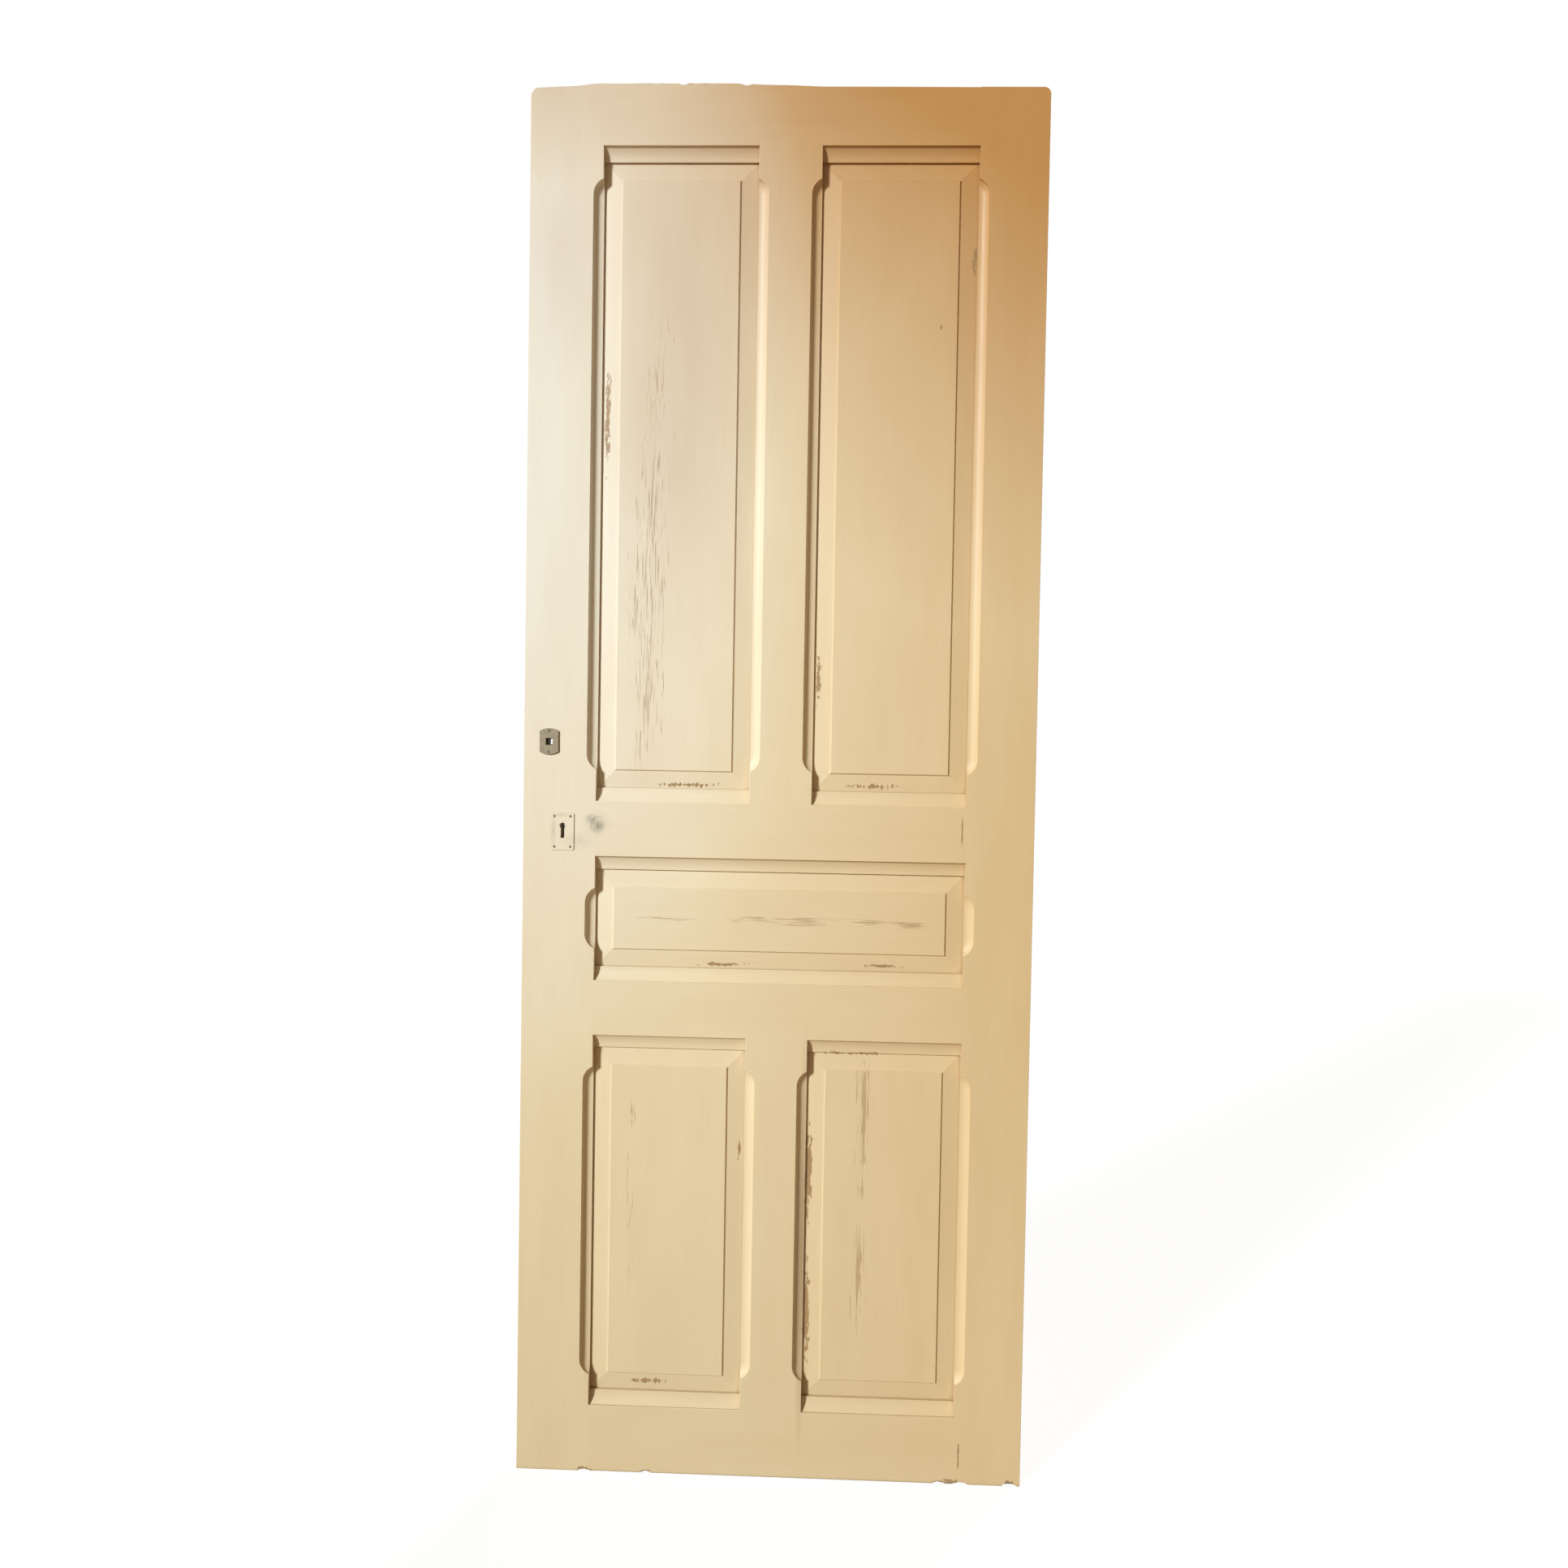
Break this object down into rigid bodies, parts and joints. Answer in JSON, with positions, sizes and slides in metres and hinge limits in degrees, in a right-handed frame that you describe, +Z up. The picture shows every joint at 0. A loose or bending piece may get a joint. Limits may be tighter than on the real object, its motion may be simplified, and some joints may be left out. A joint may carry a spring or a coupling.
{
  "type": "panelled exterior door leaf",
  "caption": "Painted wooden exterior door leaf with raised panels, stopped mouldings, a square-spindle night bolt, a key deadlock and lift-off hinge halves.",
  "frame": {"origin": "middle of the leaf's bottom edge, at mid-width and mid-thickness", "axes": "+Z up, +X towards the hinge edge, -Y out of the face with the lock plates"},
  "size_m": [0.743, 0.0549, 2],
  "materials": {
    "painted_wood": "brushed oil enamel, yellowed, cracked and chipped",
    "bare_wood": "sawn end grain, dusty",
    "aged_iron": "browned and dull",
    "lock_steel": "worn, dull",
    "painted_plate": "painted over with the door"
  },
  "bodies": {
    "leaf": {"lock_stile": "painted_wood", "hinge_stile": "painted_wood", "top_rail": "painted_wood", "lock_rail": "painted_wood", "middle_rail": "painted_wood", "bottom_rail": "painted_wood", "upper_muntin": "painted_wood", "lower_muntin": "painted_wood", "upper_left_panel": "painted_wood", "upper_right_panel": "painted_wood", "middle_panel": "painted_wood", "lower_left_panel": "painted_wood", "lower_right_panel": "painted_wood", "tenon_wedges": "bare_wood", "old_hole_plug": "painted_wood", "spindle_rose": "aged_iron", "rose_screws": "aged_iron", "night_bolt_case": "lock_steel", "night_bolt_cover": "lock_steel", "night_bolt_forend": "lock_steel", "keyhole_plate": "painted_plate", "keyhole_plate_pins": "painted_plate", "deadlock_case": "lock_steel", "deadlock_cover": "lock_steel", "deadlock_forend": "lock_steel", "dead_bolt_spring": "lock_steel", "forend_screws": "lock_steel", "cover_screws": "lock_steel", "top_hinge": "aged_iron", "middle_hinge": "aged_iron", "bottom_hinge": "aged_iron", "hinge_screws": "aged_iron"},
    "follower": {"follower": "aged_iron"},
    "night_bolt": {"night_bolt": "lock_steel"},
    "dead_bolt": {"dead_bolt": "lock_steel"}
  },
  "joints": [
    {"name": "follower_turn", "type": "hinge", "parent": "leaf", "child": "follower", "pos_m": [-0.3305, 0, 1.0675], "axis": [0, -1, 0], "range_deg": [0, 60]},
    {"name": "night_bolt_throw", "type": "slide", "parent": "leaf", "child": "night_bolt", "axis": [-1, 0, 0], "range_m": [0, 0.016]},
    {"name": "dead_bolt_throw", "type": "slide", "parent": "leaf", "child": "dead_bolt", "axis": [-1, 0, 0], "range_m": [0, 0.015]}
  ],
  "couplings": [
    {"joint": "follower_turn", "follows": "night_bolt_throw", "rad_per_m": 65.45}
  ]
}
